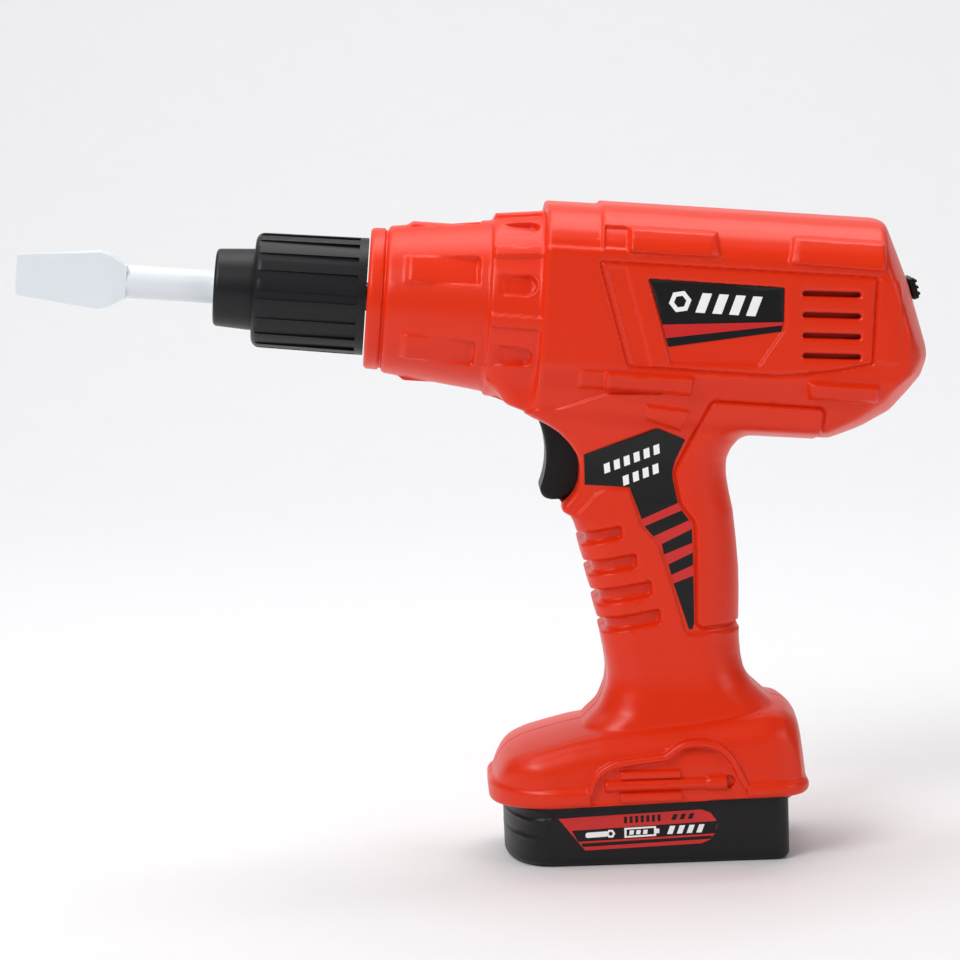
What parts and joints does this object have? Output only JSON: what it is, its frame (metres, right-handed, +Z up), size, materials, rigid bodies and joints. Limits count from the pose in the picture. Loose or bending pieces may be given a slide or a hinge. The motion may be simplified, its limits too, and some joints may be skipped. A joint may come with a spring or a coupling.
{
  "type": "toy power drill",
  "caption": "Pistol-grip toy cordless drill: two-part shell, geared motor, fluted chuck with a push-in bit, hinged trigger, sliding direction knob and battery case.",
  "frame": {"origin": "centre of the battery case's flat bottom", "axes": "-X the way the chuck points, +Z up, so the drill's own left side faces -Y; the drill axis is pitched 5.5 degrees nose-up"},
  "size_m": [0.2523, 0.056, 0.1831],
  "materials": {
    "red_plastic": "satin",
    "black_plastic": "satin",
    "trigger_plastic": "satin",
    "bit_plastic": "translucent satin",
    "label_film": "printed film",
    "steel": "satin",
    "motor_steel": "plated",
    "magnet": "matte",
    "brass": "satin",
    "copper": "satin",
    "nylon": "matte",
    "cell_wrap": "gloss",
    "wire_red": "matte",
    "wire_black": "matte",
    "wire_yellow": "matte"
  },
  "bodies": {
    "housing": {"left_shell": "red_plastic", "right_shell": "red_plastic", "battery_case": "black_plastic", "battery_door": "black_plastic", "side_labels": "label_film", "grip_labels": "label_film", "battery_labels": "label_film", "shell_screws": "steel", "gearbox_screws": "steel", "motor_screws": "steel", "battery_door_screw": "steel", "trigger_pin": "steel", "trigger_spring": "steel", "front_bush": "nylon", "gearbox_front_plate": "nylon", "gearbox_rear_plate": "nylon", "gearbox_posts": "nylon", "motor_can": "motor_steel", "motor_magnets": "magnet", "motor_end_cap": "black_plastic", "motor_terminals": "brass", "switch_contacts": "brass", "switch_block": "black_plastic", "direction_switch": "black_plastic", "cell_1": "cell_wrap", "cell_2": "cell_wrap", "cell_3": "cell_wrap", "battery_springs": "steel", "battery_plates": "steel", "wire_supply_red": "wire_red", "wire_supply_black": "wire_black", "wire_switch_yellow": "wire_yellow", "wires_motor": "wire_black"},
    "chuck": {"chuck_nose": "black_plastic", "chuck_sleeve": "black_plastic", "output_spindle": "steel", "output_gear": "nylon"},
    "lay": {"layshaft": "steel", "lay_gear": "nylon"},
    "rotor": {"motor_shaft": "steel", "motor_armature": "motor_steel", "motor_commutator": "copper", "motor_pinion": "brass"},
    "bit": {"flat_bit": "bit_plastic"},
    "trigger": {"trigger": "trigger_plastic", "contact_bridge": "brass"},
    "direction": {"direction_knob": "black_plastic", "direction_toggle": "black_plastic"}
  },
  "joints": [
    {"name": "chuck_spin", "type": "hinge", "parent": "housing", "child": "chuck", "pos_m": [-0.0727, 0, 0.1584], "axis": [0.9954, 0, -0.0958], "continuous": true},
    {"name": "lay_spin", "type": "hinge", "parent": "housing", "child": "lay", "pos_m": [-0.07385, 0, 0.14646], "axis": [0.9954, 0, -0.0958], "continuous": true},
    {"name": "motor_spin", "type": "hinge", "parent": "housing", "child": "rotor", "pos_m": [-0.0727, 0, 0.1584], "axis": [0.9954, 0, -0.0958], "continuous": true},
    {"name": "bit_slide", "type": "slide", "parent": "chuck", "child": "bit", "axis": [-0.9954, 0, 0.0958], "range_m": [0, 0.018]},
    {"name": "trigger_pull", "type": "hinge", "parent": "housing", "child": "trigger", "pos_m": [-0.014, 0, 0.128], "axis": [0, -1, 0], "range_deg": [0, 8], "stiffness_Nm_per_rad": 0.3, "springref_deg": -5.73, "deforming": ["trigger_spring"]},
    {"name": "direction_slide", "type": "slide", "parent": "housing", "child": "direction", "axis": [-0.2519, 0, 0.9678], "range_m": [-0.002, 0.002]}
  ],
  "couplings": [
    {"joint": "lay_spin", "follows": "chuck_spin", "ratio": -3},
    {"joint": "motor_spin", "follows": "chuck_spin", "ratio": 9}
  ]
}
